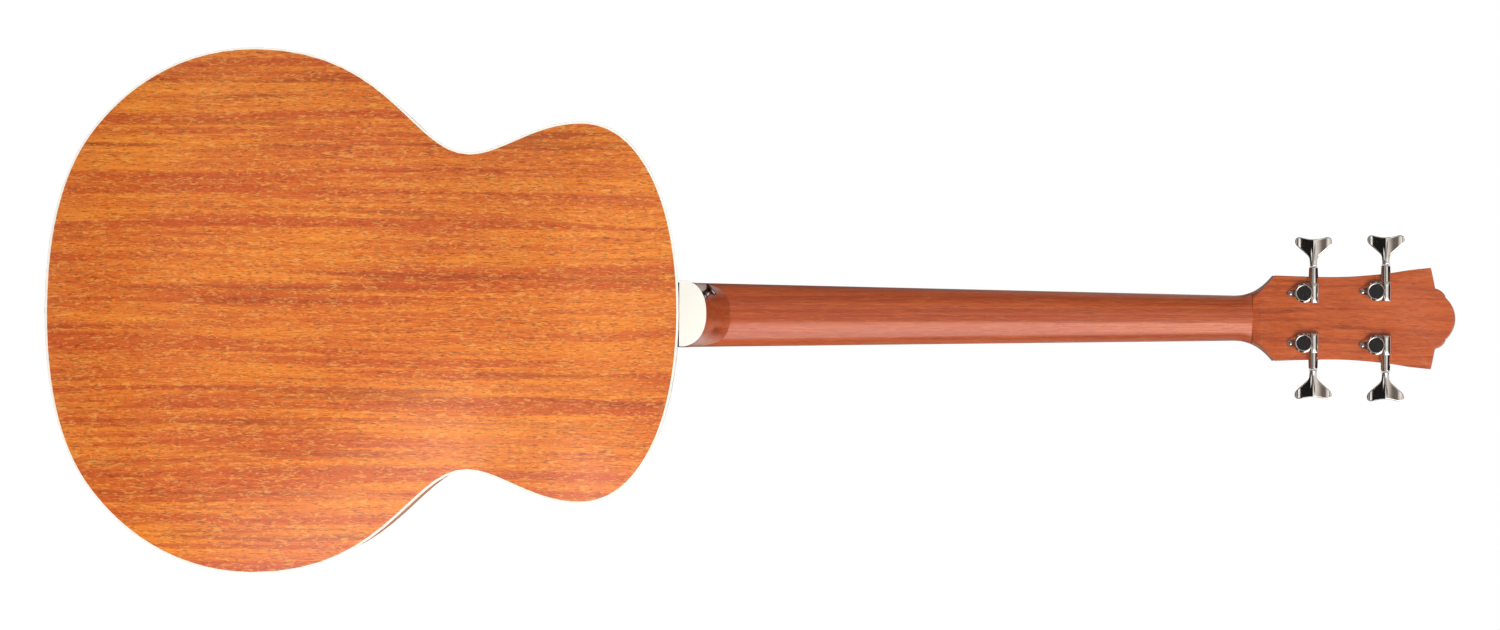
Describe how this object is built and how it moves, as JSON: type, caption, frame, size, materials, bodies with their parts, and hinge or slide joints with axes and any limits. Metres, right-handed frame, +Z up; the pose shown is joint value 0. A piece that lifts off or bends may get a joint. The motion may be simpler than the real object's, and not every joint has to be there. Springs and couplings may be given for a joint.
{
  "type": "acoustic bass guitar",
  "caption": "Four-string acoustic bass guitar with a deep jumbo body, arched mahogany back, set neck and geared tuning machines.",
  "frame": {"origin": "centre of the outer face of the tail strap button", "axes": "+Z up the neck towards the headstock, +X towards the treble side, +Y towards the arched back; the soundboard faces -Y"},
  "size_m": [0.426, 0.1401, 1.1617],
  "materials": {
    "back_mahogany": "satin lacquer on ribbon-striped mahogany",
    "side_mahogany": "satin lacquer on mahogany",
    "neck_mahogany": "satin lacquer on darker mahogany",
    "top_spruce": "satin lacquer on straight-grained spruce",
    "ivory_trim": "smooth ivory-coloured plastic",
    "inner_wood": "bare wood",
    "rosewood": "oiled rosewood",
    "face_veneer": "satin dark veneer",
    "bone": "polished bone",
    "black_plastic": "gloss black plastic",
    "truss_steel": "drawn steel",
    "truss_brass": "turned brass",
    "bronze_wound": "round-wound bronze",
    "dark_nickel": "dark polished nickel",
    "nylon": "pale nylon"
  },
  "bodies": {
    "root": {"soundboard": "top_spruce", "back_plate": "back_mahogany", "side_treble": "side_mahogany", "side_bass": "side_mahogany", "binding_front": "ivory_trim", "binding_back": "ivory_trim", "lining_front": "inner_wood", "lining_back": "inner_wood", "neck_block": "inner_wood", "tail_block": "inner_wood", "x_brace_treble": "inner_wood", "x_brace_bass": "inner_wood", "transverse_brace": "inner_wood", "tone_bar": "inner_wood", "bridge_plate": "rosewood", "bridge": "rosewood", "saddle": "bone", "bridge_pin_1": "bone", "bridge_pin_2": "bone", "bridge_pin_3": "bone", "bridge_pin_4": "bone", "pickguard": "black_plastic", "neck": "neck_mahogany", "heel_cap": "ivory_trim", "headstock_face": "face_veneer", "truss_rod": "truss_steel", "truss_rod_cover": "black_plastic", "fingerboard": "rosewood", "nut": "bone", "strap_button_tail": "dark_nickel", "strap_button_heel": "dark_nickel", "string_1": "bronze_wound", "string_2": "bronze_wound", "string_3": "bronze_wound", "string_4": "bronze_wound", "tuner_housing_1": "dark_nickel", "tuner_cap_1": "dark_nickel", "tuner_bushing_1": "dark_nickel", "tuner_housing_2": "dark_nickel", "tuner_cap_2": "dark_nickel", "tuner_bushing_2": "dark_nickel", "tuner_housing_3": "dark_nickel", "tuner_cap_3": "dark_nickel", "tuner_bushing_3": "dark_nickel", "tuner_housing_4": "dark_nickel", "tuner_cap_4": "dark_nickel", "tuner_bushing_4": "dark_nickel"},
    "truss_nut": {"truss_rod_nut": "truss_brass"},
    "key_1": {"tuner_key_1": "dark_nickel", "tuner_washer_1": "nylon"},
    "post_1": {"tuner_post_1": "dark_nickel"},
    "key_2": {"tuner_key_2": "dark_nickel", "tuner_washer_2": "nylon"},
    "post_2": {"tuner_post_2": "dark_nickel"},
    "key_3": {"tuner_key_3": "dark_nickel", "tuner_washer_3": "nylon"},
    "post_3": {"tuner_post_3": "dark_nickel"},
    "key_4": {"tuner_key_4": "dark_nickel", "tuner_washer_4": "nylon"},
    "post_4": {"tuner_post_4": "dark_nickel"}
  },
  "joints": [
    {"name": "truss_nut_turn", "type": "hinge", "parent": "root", "child": "truss_nut", "pos_m": [0, -0.05, 1.00656], "axis": [0, 0, 1], "range_deg": [-180, 180]},
    {"name": "key_1_turn", "type": "hinge", "parent": "root", "child": "key_1", "pos_m": [-0.0447, -0.02527, 1.04519], "axis": [-1, 0, 0], "continuous": true},
    {"name": "post_1_turn", "type": "hinge", "parent": "root", "child": "post_1", "pos_m": [-0.0207, -0.03232, 1.03912], "axis": [0, -0.9744, 0.225], "continuous": true},
    {"name": "key_2_turn", "type": "hinge", "parent": "root", "child": "key_2", "pos_m": [-0.0462, -0.01202, 1.10258], "axis": [-1, 0, 0], "continuous": true},
    {"name": "post_2_turn", "type": "hinge", "parent": "root", "child": "post_2", "pos_m": [-0.0222, -0.01907, 1.09651], "axis": [0, -0.9744, 0.225], "continuous": true},
    {"name": "key_3_turn", "type": "hinge", "parent": "root", "child": "key_3", "pos_m": [0.0462, -0.01202, 1.10258], "axis": [1, 0, 0], "continuous": true},
    {"name": "post_3_turn", "type": "hinge", "parent": "root", "child": "post_3", "pos_m": [0.0222, -0.01907, 1.09651], "axis": [0, -0.9744, 0.225], "continuous": true},
    {"name": "key_4_turn", "type": "hinge", "parent": "root", "child": "key_4", "pos_m": [0.0447, -0.02527, 1.04519], "axis": [1, 0, 0], "continuous": true},
    {"name": "post_4_turn", "type": "hinge", "parent": "root", "child": "post_4", "pos_m": [0.0207, -0.03232, 1.03912], "axis": [0, -0.9744, 0.225], "continuous": true}
  ],
  "couplings": [
    {"joint": "post_1_turn", "follows": "key_1_turn", "ratio": 0.05},
    {"joint": "post_2_turn", "follows": "key_2_turn", "ratio": 0.05},
    {"joint": "post_3_turn", "follows": "key_3_turn", "ratio": 0.05},
    {"joint": "post_4_turn", "follows": "key_4_turn", "ratio": 0.05}
  ]
}
